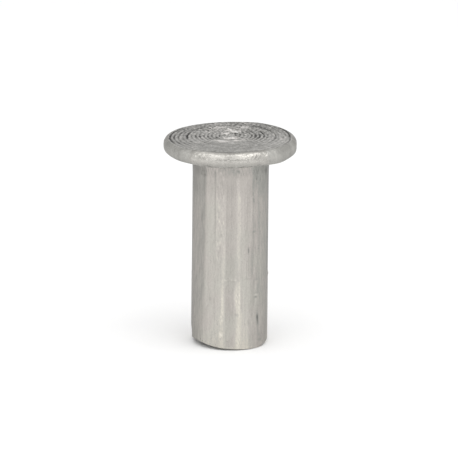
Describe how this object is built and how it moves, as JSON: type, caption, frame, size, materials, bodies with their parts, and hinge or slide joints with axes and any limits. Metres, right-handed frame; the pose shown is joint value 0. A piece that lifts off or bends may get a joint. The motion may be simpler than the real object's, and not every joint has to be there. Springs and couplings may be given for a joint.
{
  "type": "brake lining rivet",
  "caption": "Flat-head semi-tubular rivet of soft aluminium: a thin round head with turned rings, a plain round shank, and a blind hole in its end that is rolled over to clinch a brake lining.",
  "frame": {"origin": "centre of the free end face of the shank, which is the face the rivet stands on", "axes": "+Z along the shank's axis, from the free end towards the head; X and Y across it"},
  "size_m": [0.0068, 0.0068, 0.0108],
  "materials": {
    "aluminium": "bare, as headed: satin grey with fine lines along the shank and turned rings on the head"
  },
  "bodies": {
    "root": {"rivet": "aluminium"}
  },
  "joints": []
}
